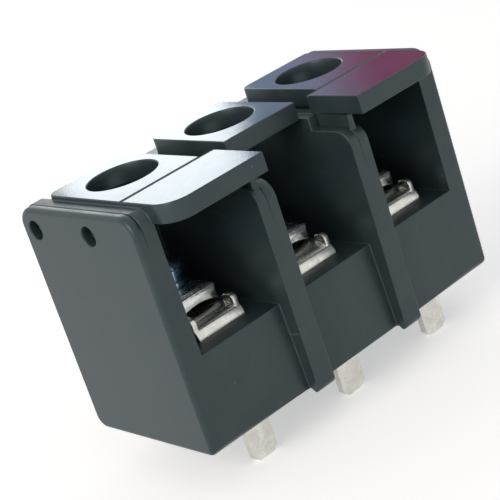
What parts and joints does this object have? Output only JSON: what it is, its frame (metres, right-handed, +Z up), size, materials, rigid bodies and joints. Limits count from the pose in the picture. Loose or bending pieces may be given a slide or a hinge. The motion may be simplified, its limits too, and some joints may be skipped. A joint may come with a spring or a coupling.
{
  "type": "barrier terminal strip",
  "caption": "Black moulded barrier terminal strip for a circuit board, with recessed clamp screws under roof tabs, front flaps, end plates and flat solder pins.",
  "frame": {"origin": "middle of the underside of the housing, on the board's surface", "axes": "+X along the strip from the left end to the right end seen from the wire side, -Y towards the wires, +Z up from the board"},
  "size_m": [0.03, 0.0163, 0.022],
  "materials": {
    "black_plastic": "satin moulded black with fine scuffs",
    "tinned_brass": "bright tin plate",
    "nickel_sheet": "bright nickel plate",
    "zinc_steel": "blue zinc plate"
  },
  "bodies": {
    "strip": {"left_end_plate": "black_plastic", "right_end_plate": "black_plastic", "pole_housing_1": "black_plastic", "pole_housing_2": "black_plastic", "pole_housing_3": "black_plastic", "terminal_1": "tinned_brass", "terminal_2": "tinned_brass", "terminal_3": "tinned_brass"},
    "clamp_1": {"clamp_plate_1": "nickel_sheet", "lock_washer_1": "zinc_steel"},
    "screw_1": {"screw_1": "zinc_steel"},
    "clamp_2": {"clamp_plate_2": "nickel_sheet", "lock_washer_2": "zinc_steel"},
    "screw_2": {"screw_2": "zinc_steel"},
    "clamp_3": {"clamp_plate_3": "nickel_sheet", "lock_washer_3": "zinc_steel"},
    "screw_3": {"screw_3": "zinc_steel"}
  },
  "joints": [
    {"name": "clamp_lift_1", "type": "slide", "parent": "strip", "child": "clamp_1", "axis": [0, 0, 1], "range_m": [-0.00015, 0.0025]},
    {"name": "screw_turn_1", "type": "hinge", "parent": "clamp_1", "child": "screw_1", "pos_m": [-0.0095, 0.0007, 0.01], "axis": [0, 0, 1], "range_deg": [-108, 1800]},
    {"name": "clamp_lift_2", "type": "slide", "parent": "strip", "child": "clamp_2", "axis": [0, 0, 1], "range_m": [-0.00015, 0.0025]},
    {"name": "screw_turn_2", "type": "hinge", "parent": "clamp_2", "child": "screw_2", "pos_m": [0, 0.0007, 0.01], "axis": [0, 0, 1], "range_deg": [-108, 1800]},
    {"name": "clamp_lift_3", "type": "slide", "parent": "strip", "child": "clamp_3", "axis": [0, 0, 1], "range_m": [-0.00015, 0.0025]},
    {"name": "screw_turn_3", "type": "hinge", "parent": "clamp_3", "child": "screw_3", "pos_m": [0.0095, 0.0007, 0.01], "axis": [0, 0, 1], "range_deg": [-108, 1800]}
  ],
  "couplings": [
    {"joint": "screw_turn_1", "follows": "clamp_lift_1", "rad_per_m": 12566},
    {"joint": "screw_turn_2", "follows": "clamp_lift_2", "rad_per_m": 12566},
    {"joint": "screw_turn_3", "follows": "clamp_lift_3", "rad_per_m": 12566}
  ]
}
